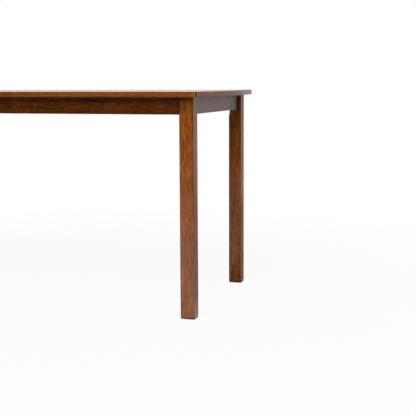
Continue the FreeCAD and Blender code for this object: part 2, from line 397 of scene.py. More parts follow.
def finish(material, colour, rough, relief, strength, distance, **even):
    """The material with its colour, roughness, relief, and the values that are even all over."""
    tree = material.node_tree
    bump = put(tree, "Bump", Strength=strength, Distance=distance, Height=relief).outputs[0]
    give_all(tree.nodes["Principled BSDF"], Base_Color=colour, Roughness=rough, Normal=bump, **even)
    return material


def grain_place(tree, low, high, along):
    """Object coordinates centred on the piece, with its grain along X, and as they are."""
    order = {"X": (0, 1, 2), "Y": (1, 2, 0), "Z": (2, 0, 1)}[along]
    turn = Matrix([[1.0 if column == axis else 0.0 for column in range(3)] for axis in order])
    place = object_place(tree)
    mapping = put(tree, "Mapping", {"vector_type": "POINT"}, Vector=place,
                  Rotation=turn.to_euler("XYZ"), Location=-(turn @ ((low + high) / 2)))
    return mapping.outputs["Vector"], place


def sawn(grain, shift, pith, ring, wander, taper):
    """Figure of a piece of wood and the marks of its handling."""
    figure = use(growth, Vector=grain, Seed=shift, Pith=pith, Ring_Width=ring, Wander=wander, Taper=taper)
    return figure, use(handling, Vector=grain, Seed=shift)


def wood_colour(figure, stain, depth):
    """Wood's colour: a mean of its finer figure picks the tone between deep and light, the ribbon
    shifts it to red and shines, and rings and pores darken it."""
    deep, middle, light = stain
    ribbon = figure["Ribbon"]
    mean = total(times(figure["Mottle"], 0.25), (figure["Streaks"], 0.35), (figure["Flecks"], 0.40))
    colour = tint(ramp(mean, 0.38, 0.50), deep, middle)
    colour = tint(ramp(mean, 0.50, 0.63), colour, light)
    colour = stained(colour, RED_RIBBON, ramp(ribbon, 0.45, 0.65, 0.0, 0.6 * depth))
    colour = stained(colour, ramp(ribbon, 0.36, 0.64, 1.0 - 0.14 * depth, 1.0 + 0.18 * depth))
    colour = stained(colour, total(1.0 + 0.08 * depth, (figure["Rings"], -0.18 * depth)))
    return stained(colour, total(1.0, (figure["Pores"], -0.35 * depth)))


def painted_joint_shade(place):
    """Painted shade: one on a leg's inner faces where an apron meets them, down to the apron's
    lower edge. It fades away from the apron."""
    parts = parts_of(vector_calc("ABSOLUTE", place))
    beside = []
    for axis, outer, other, inner in (("X", leg_x, "Y", leg_y), ("Y", leg_y, "X", leg_x)):
        from_apron = calc("SUBTRACT", parts[axis], outer - apron_setback)
        fading = ramp(from_apron, 0.2 * joint_shade_reach, joint_shade_reach, 1.0, 0.0)
        past_apron = calc("GREATER_THAN", from_apron, 0.0)
        on_face = calc("LESS_THAN", parts[other], inner - leg_size + leg_arris)
        beside.append(times(fading, past_apron, on_face))
    level = ramp(parts["Z"], apron_bottom - 0.4 * joint_shade_reach, apron_bottom)
    return times(calc("MAXIMUM", beside[0], beside[1]), level)


def lacquered_wood(name, node, along, seed, pith, ring, tone, gloss, bloom=0.0, leg=False):
    """Stained wood under satin lacquer. Stain darkens the worn edges. Painted shade darkens the
    corners where aprons and legs meet and a leg's faces just under the top; a leg's foot chamfer is darker
    from stain in its cut fibres and from painted shade of its downward face. A bloom is the haze of lacquer
    dried too fast."""
    material, tree = new_material(name)
    low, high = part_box(node)
    grain, place = grain_place(tree, low, high, along)
    shift = (3.1 * seed, 1.7 * seed, 2.3 * seed)
    figure, marks = sawn(grain, shift, pith, ring, 0.012, 0.012)
    edge = use(box_edges, Vector=place, Middle=(low + high) / 2, Half=(high - low) / 2,
               Width=edge_wear)["Edge"]
    colour = wood_colour(figure, WALNUT_STAIN, 0.5 if leg else 1.0)
    colour = stained(colour, (tone, tone, tone, 1))
    rub = times(edge, ramp(marks["Haze"], 0.35, 0.65, 0.2, 1.0), 0.9)
    colour = stained(colour, LEG_EDGES if leg else APRON_EDGES, rub)
    if leg:
        height = parts_of(place)["Z"]
        # Darker at the foot's chamfer, from stain in its cut fibres and painted shade of its downward face;
        # painted shadow of the top on the leg's faces just below it
        foot_stain_and_shade = ramp(height, foot_level + 0.6 * foot_chamfer, foot_level + 1.5 * foot_chamfer, 0.7, 1.0)
        painted_top_shadow = ramp(height, underside - leg_size, underside, 1.0, 0.65)
        colour = stained(colour, times(foot_stain_and_shade, painted_top_shadow))
        joint_shade = painted_joint_shade(place)
    else:
        reach = max(high - low) / 2
        lengthwise = calc("ABSOLUTE", parts_of(grain)["X"])
        joint_shade = ramp(lengthwise, reach - joint_shade_reach, reach - 0.4 * joint_shade_reach)
    # Painted shade in the corners where aprons and legs meet
    colour = stained(colour, JOINT_SHADE, joint_shade)
    rough = total(0.13, (marks["Cloud"], 0.14), (figure["Pores"], 0.12),
                  (marks["Haze"], 0.08), (joint_shade, 0.3))
    relief = total(times(figure["Pores"], -0.6), (figure["Streaks"], 0.5), (figure["Rings"], -0.25))
    return finish(material, colour, rough, relief, 0.5, 0.2 * MM, Specular_IOR_Level=gloss,
                  Sheen_Weight=bloom, Sheen_Roughness=0.5)


def veneered_top():
    """Walnut-brown veneer in leaves laid side by side, each with its own crown of rings."""
    material, tree = new_material("top_veneer")
    parts = parts_of(object_place(tree))
    across = calc("DIVIDE", parts["Y"], leaf_width)
    leaf = calc("FLOOR", across)
    in_leaf = times(calc("PINGPONG", calc("ADD", across, 8.0), 1.0), leaf_width)
    below = calc("LESS_THAN", parts["Z"], (table_height + underside) / 2)
    chance = put(tree, "TexWhiteNoise", {"noise_dimensions": "2D"},
                 Vector=vector_of(leaf, below, 0.0)).outputs["Value"]
    along = total(parts["X"], (leaf, leaf_shift))
    depth_in_log = total(times(below, log_depth), (leaf, leaf_thickness))
    grain = vector_of(along, in_leaf, depth_in_log)
    figure = use(growth, Vector=grain, Seed=(5.3, 2.9, 7.7), Pith=(0.0, 0.075, -0.052),
                 Ring_Width=6.2 * MM, Wander=0.045, Taper=0.035)
    marks = use(handling, Vector=grain, Seed=(1.1, 4.2, 0.6))
    colour = wood_colour(figure, WALNUT_STAIN, 0.9)
    colour = stained(colour, total(1.08, (figure["Rings"], -0.45)))
    colour = stained(colour, total(0.98, (chance, 0.16)))
    from_middle = calc("ABSOLUTE", calc("SUBTRACT", calc("FRACT", across), 0.5))
    seam = ramp(from_middle, 0.4978, 0.4992)
    colour = tint(times(seam, 0.5), colour, LEAF_SEAM)
    rough = total(0.12, (marks["Cloud"], 0.10), (figure["Pores"], 0.12))
    relief = total(times(figure["Pores"], -0.6), (figure["Streaks"], 0.4), (seam, -1.0))
    return finish(material, colour, rough, relief, 0.15, 0.08 * MM, Specular_IOR_Level=0.5)


def lipping_wood(name, seed):
    """Stained solid edging. Its mesh says how the grain runs, where it is cut across, where painted
    shade lies under its lower arris, and where a painted highlight lies beside the joint."""
    material, tree = new_material(name)
    grain = attribute(tree, "grain", "Vector")
    ends = attribute(tree, "end_grain")
    shift = (2.7 * seed, 1.3 * seed, 1.9 * seed)
    figure, marks = sawn(grain, shift, (0.0, 0.02, -0.045), 3.5 * MM, 0.02, 0.01)
    colour = wood_colour(figure, LIPPING_STAIN, 0.8)
    colour = stained(colour, LIPPING_EDGES, attribute(tree, "arris"))
    # Painted highlight beside the joint at the top's corners
    colour = tint(times(attribute(tree, "painted_highlight"), 0.8), colour, PAINTED_HIGHLIGHT)
    # Dark cut end grain, and painted shade under the lower arris
    end_grain_and_under_shade = calc("MAXIMUM", ends, attribute(tree, "painted_under_shade"))
    colour = stained(colour, DARK_ENDS_AND_UNDER_SHADE, end_grain_and_under_shade)
    rough = total(0.24, (marks["Cloud"], 0.16), (ends, 0.18))
    relief = total(times(figure["Pores"], -0.6), (figure["Streaks"], 0.5))
    return finish(material, colour, rough, relief, 0.3, 0.1 * MM, Specular_IOR_Level=0.9)


def raw_wood(name, node, along, seed, pith):
    """Planed wood without stain or lacquer, grimy in places."""
    material, tree = new_material(name)
    grain = grain_place(tree, *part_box(node), along)[0]
    shift = (2.1 * seed, 1.9 * seed, 3.7 * seed)
    figure, marks = sawn(grain, shift, pith, 4.5 * MM, 0.02, 0.01)
    colour = wood_colour(figure, RAW_WOOD, 0.7)
    colour = stained(colour, ramp(marks["Cloud"], 0.55, 0.80, 1.0, 0.82))
    rough = total(0.62, (marks["Haze"], 0.2))
    relief = total(figure["Streaks"], (marks["Haze"], 0.6))
    return finish(material, colour, rough, relief, 0.5, 0.2 * MM, Specular_IOR_Level=0.3)


def zinc_plate():
    """Bright zinc with soft blue-grey spangle and dull hazy strokes."""
    material, tree = new_material("zinc_plate")
    place = object_place(tree)
    spangle = put(tree, "TexVoronoi", Vector=place, Scale=900.0).outputs["Color"]
    grey = put(tree, "SeparateColor", Color=spangle).outputs[0]
    marks = use(handling, Vector=place, Seed=(0.4, 1.8, 2.2))
    colour = tint(grey, (0.50, 0.52, 0.55, 1), (0.66, 0.67, 0.68, 1))
    colour = tint(ramp(marks["Haze"], 0.55, 0.80), colour, (0.36, 0.35, 0.33, 1))
    rough = total(0.22, (marks["Haze"], 0.3))
    return finish(material, colour, rough, grey, 0.2, 0.03 * MM, Metallic=1.0)


def moulded_nylon():
    """Dark brown moulded plastic with a finely blasted surface, scuffed where it slides."""
    material, tree = new_material("moulded_nylon")
    place = object_place(tree)
    blast = noise(place, (1800.0, 1800.0, 1800.0), 2.0)
    marks = use(handling, Vector=place, Seed=(2.0, 0.3, 1.0))
    low_down = ramp(parts_of(place)["Z"], 0.0, scuff_height, 1.0, 0.0)
    scuff = times(low_down, marks["Haze"])
    colour = tint(blast, (0.035, 0.022, 0.015, 1), (0.060, 0.040, 0.028, 1))
    colour = tint(scuff, colour, (0.16, 0.13, 0.11, 1))
    return finish(material, colour, total(0.5, (scuff, 0.2)), blast, 0.4, 0.05 * MM)


# Meshes


def stacked(*columns):
    """Columns side by side as the last axis, each spread to the size of the largest."""
    return np.stack(np.broadcast_arrays(*columns), axis=-1)


def climb(value, start, width):
    """Zero up to a start, then rising evenly to one over a width."""
    return np.clip((value - start) / width, 0, 1)


def skin(rings, ends="capped"):
    """Skin over rings of points, whose ends are capped, open, or joined to each other. Returns
    points and faces; a ring runs anticlockwise seen from the last."""
    stations, count = rings.shape[:2]
    index = np.arange(stations * count).reshape(stations, count)
    if ends == "joined":
        index = np.concatenate([index, index[:1]])
    ahead = np.roll(index, -1, axis=1)
    quads = np.stack([index[:-1], ahead[:-1], ahead[1:], index[1:]], axis=-1).reshape(-1, 4)
    faces = quads.tolist()
    if ends == "capped":
        faces.append(index[0][::-1].tolist())
        faces.append(index[-1].tolist())
    return rings.reshape(-1, 3), faces


def joined(skins):
    """Several skins as one list of points and faces."""
    points, faces, start = [], [], 0
    for some, polygons in skins:
        points.append(some)
        faces += [[i + start for i in polygon] for polygon in polygons]
        start += len(some)
    return np.concatenate(points), faces


def turned(radius, height, count):
    """Rings about Z, one for each radius and height. Either may differ round the circle."""
    angle = np.arange(count) * 2 * np.pi / count
    radius, height = (row[:, None] if row.ndim == 1 else row for row in (radius, height))
    return stacked(radius * np.cos(angle), radius * np.sin(angle), height)


def aimed(points, place, direction):
    """Points whose Z is turned by the shortest way to a direction, then brought to a place."""
    toward = np.array(direction) / np.linalg.norm(direction)
    v = np.cross([0, 0, 1], toward)
    cross = np.array([[0, -v[2], v[1]], [v[2], 0, -v[0]], [-v[1], v[0], 0]])
    turn = np.eye(3) + cross + cross @ cross / (1 + toward[2])
    return points @ turn.T + np.array(place)


def placed(name, data):
    """New object in the scene."""
    thing = bpy.data.objects.new(name, data)
    bpy.context.scene.collection.objects.link(thing)
    return thing


def piece(name, made, material, node, attributes=None, sharp=30):
    """A named piece from points and faces, riding on the table and standing for a CAD node. Edges
    sharper than an angle in degrees stay crisp."""
    points, faces = made
    mesh = bpy.data.meshes.new(name)
    mesh.from_pydata(points.tolist(), [], faces)
    mesh.polygons.foreach_set("use_smooth", np.ones(len(mesh.polygons), bool))
    mesh.set_sharp_from_angle(angle=math.radians(sharp))
    for key, values in (attributes or {}).items():
        kind, field = ("FLOAT_VECTOR", "vector") if values.ndim == 2 else ("FLOAT", "value")
        layer = mesh.attributes.new(key, kind, "POINT")
        layer.data.foreach_set(field, values.astype(np.float32).ravel())
    mesh.materials.append(material)
    mesh.update()
    thing = placed(name, mesh)
    even = thing.modifiers.new("even_normals", "WEIGHTED_NORMAL")
    even.keep_sharp = True
    even.weight = 80
    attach(thing, "root")
    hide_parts(node)


def in_corner(points, corner):
    """Points of the corner's own frame, brought to that corner of the table."""
    side_x, side_y, degrees = corners[corner]
    angle = math.radians(degrees)
    ahead, aside = math.cos(angle), math.sin(angle)
    turn = np.array([[ahead, -aside, 0], [aside, ahead, 0], [0, 0, 1]])
    return points @ turn.T + np.array([side_x * leg_x, side_y * leg_y, 0])


def leg_rings(seed):
    """Rings up one leg, in the corner's own frame: squares that shrink at the foot's chamfer, with
    corners rounded by a radius that waves a little with height, as sanding by hand leaves it. The
    inner corner is cut by a plane that runs out along an arc below the aprons."""
    run_out_start = apron_bottom - run_out_length
    levels = np.r_[foot_level + foot_chamfer * np.array([0.0, 0.06, 0.5, 0.94, 1.06, 1.3]),
                   np.linspace(4 * ring_gap, run_out_start - 2 * ring_gap, 60),
                   apron_bottom - run_out_length * np.linspace(1, 0, 19) ** 1.5,
                   np.linspace(apron_bottom + ring_gap, underside, 8)]
    rise = climb(levels, foot_level, foot_chamfer)
    half = (leg_size / 2 - foot_chamfer * (1 - rise))[:, None, None]
    wave = np.sin(levels * 17 + seed) + 0.6 * np.sin(levels * 41 + 2.3 * seed)
    radius = (leg_arris * (1 + sanding_swell * wave))[:, None, None]
    depth = chamfer_leg / root_two
    arc = (run_out_length ** 2 + depth ** 2) / (2 * depth)
    drop = np.clip(apron_bottom - levels, 0, run_out_length)
    cut = root_two * (depth - (arc - np.sqrt(arc ** 2 - drop ** 2)))
    cut = np.where(levels < run_out_start, 0, cut)[:, None]

    angles = np.radians(np.linspace(0, 90, 9))
    rounded = []
    for sx, sy, start in ((1, -1, -90), (1, 1, 0), (-1, 1, 90), (-1, -1, 180)):
        turn = angles + math.radians(start)
        arm = stacked(np.cos(turn), np.sin(turn))[None]
        rounded.append(np.array([sx, sy]) * (half - radius) + radius * arm)
    inner = rounded[1]
    along = ((np.sin(angles) - np.cos(angles) + 1) / 2)[None, :]
    edge = half[:, :, 0]
    chord = stacked(edge - cut * along, edge - cut * (1 - along))
    beyond = inner.sum(-1) / root_two - (2 * edge - cut) / root_two
    planed = inner - np.maximum(beyond, 0)[..., None] / root_two
    wide = (cut > radius[:, :, 0])[..., None]
    rounded[1] = np.where(wide, chord, np.where((cut > 0)[..., None], planed, inner))
    between = np.linspace(0, 1, 6)[1:-1][None, :, None]
    ring = []
    for this, following in zip(rounded, rounded[1:] + rounded[:1]):
        ring += [this, this[:, -1:] * (1 - between) + following[:, :1] * between]
    flat = np.concatenate(ring, axis=1) + leg_size / 2
    return stacked(flat[..., 0], flat[..., 1], levels[:, None])


def build_legs():
    for number, corner in enumerate(corners):
        node = "leg_" + corner
        pith, tone, gloss = leg_woods[number]
        material = lacquered_wood("leg_wood_" + corner, node, "Z", 1.0 + number, pith, 5.2 * MM, tone,
                                  gloss, leg=True)
        points, faces = skin(leg_rings(number * 1.9))
        piece("sanded_leg_" + corner, (in_corner(points, corner), faces), material, node)


def edge_profile():
    """Upright profile of the top's edge as inset and height: upper arris, face, lower arris."""
    turn = np.radians(np.linspace(0, 90, 6))
    rise, fall = 1 - np.sin(turn), 1 - np.cos(turn)
    upper = stacked(top_arris * rise, table_height - top_arris * fall)
    lower = stacked(under_arris * fall, underside + under_arris * rise)
    face = np.linspace(upper[-1], lower[0], 5)[1:-1]
    return np.concatenate([upper, face, lower])


def joint_line(y):
    """X of the joint between the end lipping and the rest of the top, at a distance from the middle."""
    return bow_centre_x + np.sqrt((bow_radius - lipping_thickness) ** 2 - y ** 2)


def end_line(inset, share):
    """Plan line round one end of the top, drawn in by an inset. From share zero on the joint at the
    front it follows the edge, a corner arc, the bow, a corner arc and the edge to the back."""
    side = half_width - inset
    outer = bow_radius - inset
    small = np.maximum(corner_radius - inset, least_radius)
    joint = joint_line(side)
    centre_y = side - small
    centre_x = bow_centre_x + np.sqrt((outer - small) ** 2 - centre_y ** 2)
    lean = np.arctan2(centre_y, centre_x - bow_centre_x)
    t = np.minimum(share, 1 - share) * 2
    edge_end, corner_end = 0.06, 0.22
    straight_x = joint + (centre_x - joint) * climb(t, 0, edge_end)
    turn = -np.pi / 2 + (np.pi / 2 - lean) * climb(t, edge_end, corner_end - edge_end)
    bow = -lean * (1 - climb(t, corner_end, 1 - corner_end))
    x = np.where(t <= corner_end, centre_x + small * np.cos(turn), bow_centre_x + outer * np.cos(bow))
    y = np.where(t <= corner_end, -centre_y + small * np.sin(turn), outer * np.sin(bow))
    x, y = np.where(t <= edge_end, straight_x, x), np.where(t <= edge_end, -side, y)
    return x, np.where(share > 0.5, -y, y)


def from_edges(points):
    """How far points of a lipping lie in from the long side and out from the end's joint."""
    x, y = np.abs(points[:, 0]), np.abs(points[:, 1])
    return half_width - y, x - joint_line(y)


def end_lipping(side):
    """Bowed edging of one end: the edge's profile carried along the end line, closed by its inner
    face on the joint's arc. The cut ends of its grain soak up stain; a painted highlight lies by the joint."""
    profile = edge_profile()
    share = np.r_[0, 0.01, 0.02, np.linspace(0.03, 0.11, 13), np.linspace(0.12, 0.88, 77),
                  np.linspace(0.89, 0.97, 13), 0.98, 0.99, 1]
    outer = stacked(*end_line(profile[:, 0], share[:, None]), profile[:, 1])

    def on_joint(inset, height, ease=0.0):
        reach = half_width - inset
        y = -reach + 2 * reach * share
        return stacked(joint_line(y) + ease, y, height)[:, None]

    rings = np.concatenate([outer, on_joint(under_arris, underside),
                            on_joint(top_arris, table_height - joint_easing),
                            on_joint(top_arris, table_height, joint_easing)], axis=1)
    rings[..., 0] *= side
    points, faces = skin(rings if side > 0 else rings[:, ::-1])
    grain = stacked(points[:, 1], points[:, 2] - underside, np.abs(points[:, 0]) - half_length)
    to_side, past_joint = from_edges(points)
    ends = climb(end_grain_span - to_side, 0, end_grain_fade)
    ends = ends * climb(past_joint, end_grain_start, end_grain_rise)
    thin = climb(highlight_span_bowed - past_joint, 0, highlight_fade_bowed)
    thin = thin * climb(highlight_reach - to_side, 0, highlight_reach_fade)
    return (points, faces), grain, ends, thin


def long_lipping(side):
    """Straight edging of one long side, from joint to joint: the edge's profile, its inner face
    and a stretch in X up to the joint's arc at each point's own Y."""
    profile = edge_profile()
    inset = np.r_[profile[:, 0], lipping_thickness, lipping_thickness, lipping_thickness - joint_easing]
    z = np.r_[profile[:, 1], underside, table_height - joint_easing, table_height]
    y = half_width - inset
    near_joint = np.array([0.99, 0.996, 0.9975, 1])
    share = np.r_[-near_joint[::-1], np.linspace(-0.95, 0.95, 39), near_joint][:, None]
    rings = stacked(share * joint_line(y), side * y, z)
    points, faces = skin(rings if side < 0 else rings[:, ::-1])
    grain = stacked(points[:, 0], points[:, 2] - underside, points[:, 1] - side * half_width)
    # Painted highlight at each end, beside the joint
    thin = climb(highlight_span_long + from_edges(points)[1], 0, highlight_fade_long)
    return (points, faces), grain, 0 * thin, thin


def build_lippings():
    """The four lippings. Their upper arris is darker, and their lower arris carries painted shade."""
    makes = [("bowed", "left", -1, 3.0, end_lipping), ("bowed", "right", 1, 4.0, end_lipping),
             ("long", "front", -1, 1.0, long_lipping), ("long", "back", 1, 2.0, long_lipping)]
    for shape, name, side, seed, make in makes:
        made, grain, ends, thin = make(side)
        x, y, z = made[0].T
        to_bow = bow_radius - np.hypot(np.abs(x) - bow_centre_x, y)
        outset = np.minimum(to_bow, half_width - np.abs(y))
        near_top = np.clip(1 - (table_height - z) / (1.2 * top_arris), 0, 1)
        near_under = np.clip(1.6 - (z - underside) / (1.1 * under_arris), 0, 1)
        # Painted shade under the lower outer arris, for the shadow line under the top's edge
        marks = {"grain": grain, "end_grain": ends, "painted_highlight": thin,
                 "arris": near_top * np.clip(1 - outset / (1.2 * top_arris), 0, 1),
                 "painted_under_shade": near_under * (outset < lipping_thickness / 2)}
        piece(f"{shape}_lipping_{name}", made, lipping_wood("lipping_wood_" + name, seed),
              "lipping_" + name, marks)


# Fasteners and glides


def thread_cut(height, count, pitch, depth, start, end, sharpness):
    """How far a thread is cut in, over height and turn. The crest climbs one pitch a turn; the cut
    deepens evenly from crest to flat root, and fades out within a pitch of either end."""
    turn = np.arange(count) / count
    phase = (height[:, None] / pitch - turn) % 1.0
    from_crest = np.abs(2 * phase - 1)
    cut = depth * np.clip(sharpness * (1 - from_crest), 0, 1)
    fade = climb(height, start, pitch) * climb(end - height, 0, pitch)
    return cut * fade[:, None]


def along_bolt(rings, distance, ends="capped"):
    """Skin of a turned form, laid along the hanger bolt at a distance from the leg's outer corner."""
    points, faces = skin(rings, ends)
    place = distance / root_two
    return aimed(points, (place, place, bolt_level), (1, 1, 0)), faces


def under_leg(rings, height, ends="capped"):
    """Skin of a turned form, stood below the middle of a leg at a height."""
    points, faces = skin(rings, ends)
    return points + np.array([leg_size / 2, leg_size / 2, height]), faces


def hanger_bolt_mesh():
    """Pointed wood thread, neck, and machine thread up to the chamfered end."""
    length = block_far + washer_thickness + nut_height + bolt_past_nut - bolt_start
    after_neck = bolt_in_leg + bolt_neck_length
    chamfer_start = length - bolt_end_chamfer
    wood = np.linspace(blunting, bolt_in_leg - bolt_neck_length / 2, 104)
    neck = np.array([bolt_in_leg, bolt_in_leg + bolt_neck_length / 2])
    height = np.r_[wood, neck, np.linspace(after_neck, chamfer_start, 270), length]
    root = bolt_radius - bolt_neck_depth
    radius = np.interp(height, [0, bolt_tip, wood[-1], *neck, after_neck, chamfer_start, length],
                       [0, bolt_radius, bolt_radius, root, root, bolt_radius, bolt_radius,
                        bolt_radius - bolt_end_chamfer])[:, None]
    count = 24
    cut = thread_cut(height, count, wood_pitch, wood_thread_depth, wood_thread_start, wood[-1], 1.3)
    cut = cut + thread_cut(height, count, machine_pitch, machine_thread_depth, after_neck,
                           length + machine_pitch, 1.0)
    return along_bolt(turned(np.maximum(radius - cut, 0.25 * radius), height, count), bolt_start)


def washer_mesh():
    """Stamped washer: its outer edge is rounded where the punch went in, and sharp behind."""
    soft, thin = 0.5 * MM, 0.15 * MM
    outer = washer_radius
    radius = np.array([washer_hole, washer_hole + thin, outer - thin, outer, outer, outer - 0.3 * soft,
                       outer - soft, washer_hole + soft, washer_hole])
    height = np.array([thin, 0, 0, thin, washer_thickness - soft, washer_thickness - 0.3 * soft,
                       washer_thickness, washer_thickness, washer_thickness - soft])
    return along_bolt(turned(radius, height, 48), block_far, "joined")


def nut_mesh():
    """Hexagon nut. Its side's radius is the flat's over the cosine of the turn from the flat's
    middle; the chamfer's height is that radius less the flat's, times the chamfer's slope."""
    count = 72
    angle = np.arange(count) * 2 * np.pi / count
    side = nut_flat / np.cos((angle % (np.pi / 3)) - np.pi / 6)
    least_drop, soft, sink = 0.02 * MM, 0.05 * MM, 0.45 * MM
    drop = (side - nut_flat) * math.tan(math.radians(30)) + least_drop
    lower = [(nut_bore, sink), (nut_bore + sink, 0), (0.97 * nut_flat, 0),
             (side - least_drop / 2, drop), (side, drop + soft)]
    upper = [(radius, nut_height - height) for radius, height in reversed(lower)]
    rows = lower + [(side, nut_height / 2)] + upper
    radius, height = (np.array([row[column] * np.ones(count) for row in rows]) for column in (0, 1))
    return along_bolt(turned(radius, height, count), block_far + washer_thickness, "joined")


def screw_mesh(length, thread_start):
    """Pan-head wood screw, its head under zero and its shank up Z. The head's recess is the deeper
    of two crossing slots with sloping walls at each point."""
    inner = screw_head_radius - screw_head_rounding
    step, margin, slope = 0.3 * MM, 0.2 * MM, 0.25 * MM
    flat = np.r_[screw_pole_radius, np.linspace(step, recess_length / 2 + margin, 9), inner]
    bend = np.radians(np.linspace(0, 90, 5))[1:]
    rim_radius = inner + screw_head_rounding * np.sin(bend)
    rim_height = -screw_head_height + screw_head_rounding * (1 - np.cos(bend))
    shank = np.arange(margin, length - blunting, step)
    radius = np.r_[flat, rim_radius, screw_head_radius, screw_radius, shank * 0 + screw_radius]
    height = np.r_[flat * 0 - screw_head_height, rim_height, 0, 0, shank]
    tapered = screw_radius * (length - height) / screw_tip
    radius = np.where(height > length - screw_tip, tapered, radius)
    surface = turned(radius, height, 32)
    x, y = np.abs(surface[..., 0]), np.abs(surface[..., 1])

    def slot(along, across):
        sides = climb(recess_width / 2 + slope / 2 - across, 0, slope)
        return np.minimum(climb(recess_length / 2 - along, 0, slope), sides)

    deep = recess_depth * np.maximum(slot(x, y), slot(y, x))
    on_face = np.arange(len(height)) < len(flat)
    surface[..., 2] += np.where(on_face[:, None], deep, 0)
    cut = thread_cut(height, 32, screw_pitch, screw_thread_depth, thread_start, length, 1.25)
    lean = 1 - np.minimum(cut / np.maximum(radius[:, None], blunting), 0.6)
    surface[..., :2] *= lean[..., None]
    return skin(surface)


def nail_mesh():
    """Flat-headed nail with ridges round its shank and a point."""
    along = np.linspace(0, nail_length - nail_tip, 61)
    wave = 0.5 + 0.5 * np.cos(2 * np.pi * along / nail_ridge_pitch)
    soft = 0.15 * MM
    rim = nail_head_radius - soft
    radius = np.r_[nail_pole_radius, rim, nail_head_radius, nail_head_radius, rim,
                   nail_radius * (1 - 0.12 * wave), nail_point_radius]
    height = np.r_[0, 0, soft, nail_head_height - soft, nail_head_height,
                   nail_head_height + along, nail_head_height + nail_length]
    return under_leg(turned(radius, height, 20), nail_head_inset)


def glide_mesh():
    """Moulded disc with a rounded lower edge, a stepped hole for its nail and two fine grooves."""
    bend = np.radians(np.linspace(0, 90, 7))
    round_radius = glide_radius - glide_rounding + glide_rounding * np.sin(bend)
    round_height = glide_rounding * (1 - np.cos(bend))
    lines = np.r_[-2, -1, 1, 2] * groove_slope
    dips = [0, groove_depth, groove_depth, 0]
    seat = nail_seat_radius
    radius = np.r_[nail_hole_radius, nail_hole_radius, seat, seat, seat + groove_slope,
                   lines + inner_groove, lines + outer_groove, round_radius,
                   glide_radius, glide_radius - groove_slope]
    height = np.r_[foot_level, nail_seat_depth, nail_seat_depth, groove_slope, 0,
                   dips, dips, round_height, foot_level - groove_slope, foot_level]
    return under_leg(turned(radius, height, 64), 0, "joined")


def corner_screws():
    """Seats and directions in the corner's frame: side screws, then upright ones of the block."""
    apron_inner = apron_setback + apron_thickness
    middle = (block_near + block_far) / 2
    along = middle * root_two - apron_inner
    seat = apron_inner + block_screw_grip
    side, upright = [], []
    for sign in (-1, 1):
        level = bolt_level + sign * block_screw_pitch / 2
        side += [((along, seat, level), (0, -1, 0)), ((seat, along, level), (-1, 0, 0))]
        x = (middle - sign * top_screw_offset) / root_two
        y = (middle + sign * top_screw_offset) / root_two
        upright.append(((x, y, top_screw_level), (0, 0, 1)))
    return side, upright


def under_top_screws():
    """Seats of the upright screws in the aprons, and in the centre rail."""
    apron_y = leg_y - apron_setback - apron_thickness / 2
    apron_x = leg_x - apron_setback - apron_thickness / 2
    clear_x, clear_y = 2 * (leg_x - leg_size), 2 * (leg_y - leg_size)
    clear_rail = 2 * (leg_y - apron_setback - apron_thickness)
    aprons = []
    for side in (-1, 1):
        aprons += [(clear_x * share, side * apron_y) for share in (-0.375, -0.125, 0.125, 0.375)]
        aprons += [(side * apron_x, clear_y * share) for share in (-0.25, 0.25)]
    rail = [(0, clear_rail * share) for share in (-1 / 3, 0, 1 / 3)]
    return [[np.array([x, y, top_screw_level]) for x, y in seats] for seats in (aprons, rail)]


def build_fasteners():
    zinc, nylon = zinc_plate(), moulded_nylon()
    one_each = [("threaded_hanger_bolt_", "hanger_bolt_", hanger_bolt_mesh(), zinc, "zinc_steel"),
                ("stamped_washer_", "bolt_washer_", washer_mesh(), zinc, "zinc_steel"),
                ("hexagon_nut_", "bolt_nut_", nut_mesh(), zinc, "zinc_steel"),
                ("moulded_glide_", "foot_glide_", glide_mesh(), nylon, "glide_nylon")]
    for name, node, (points, faces), material, slot in one_each:
        for corner in corners:
            made = in_corner(points, corner), faces
            piece(name + corner, made, material, node + corner, sharp=35)

    points, faces = nail_mesh()
    nails = [(in_corner(points, corner), faces) for corner in corners]
    piece("ring_shank_nails", joined(nails), zinc, "glide_nails", sharp=35)

    short, short_faces = screw_mesh(side_screw_length, side_thread_start)
    long, long_faces = screw_mesh(top_screw_length, top_thread_start)
    side, upright = corner_screws()
    aprons, rail = under_top_screws()
    groups = {
        "block_side_screws": [(in_corner(aimed(short, *seat), corner), short_faces)
                              for corner in corners for seat in side],
        "block_top_screws": [(in_corner(aimed(long, *seat), corner), long_faces)
                             for corner in corners for seat in upright],
        "apron_top_screws": [(long + seat, long_faces) for seat in aprons],
        "rail_top_screws": [(long + seat, long_faces) for seat in rail],
    }
    for node, skins in groups.items():
        piece("cross_head_" + node, joined(skins), zinc, node, sharp=35)


# Solids kept as they are


def dress(node, material):
    """Finish for a CAD node's own mesh."""
    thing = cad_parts[node]
    thing.data.materials.clear()
    thing.data.materials.append(material)


def dress_solids():
    dress("top_core_panel", veneered_top())
    # The aprons' walnut stain at a tone of 0.51 is a darker copy of the legs': painted shade of the top's
    # overhang
    aprons = [("front", "X", 0.45, 0.0), ("back", "X", 0.45, 0.0),
              ("left", "Y", 0.15, 1.0), ("right", "Y", 0.15, 1.0)]
    for seed, (name, along, gloss, bloom) in enumerate(aprons, 6):
        node = "apron_" + name
        dress(node, lacquered_wood("apron_wood_" + name, node, along, seed, (0.0, 0.03, -0.07),
                                   4.8 * MM, 0.51, gloss, bloom))
    dress("centre_rail", raw_wood("rail_wood", "centre_rail", "Y", 11.0, (0.0, 0.03, 0.04)))
    for number, corner in enumerate(corners):
        node = "corner_block_" + corner
        dress(node, raw_wood("block_wood_" + corner, node, "X", 12.0 + number, (0.0, 0.05, 0.03)))


# Studio

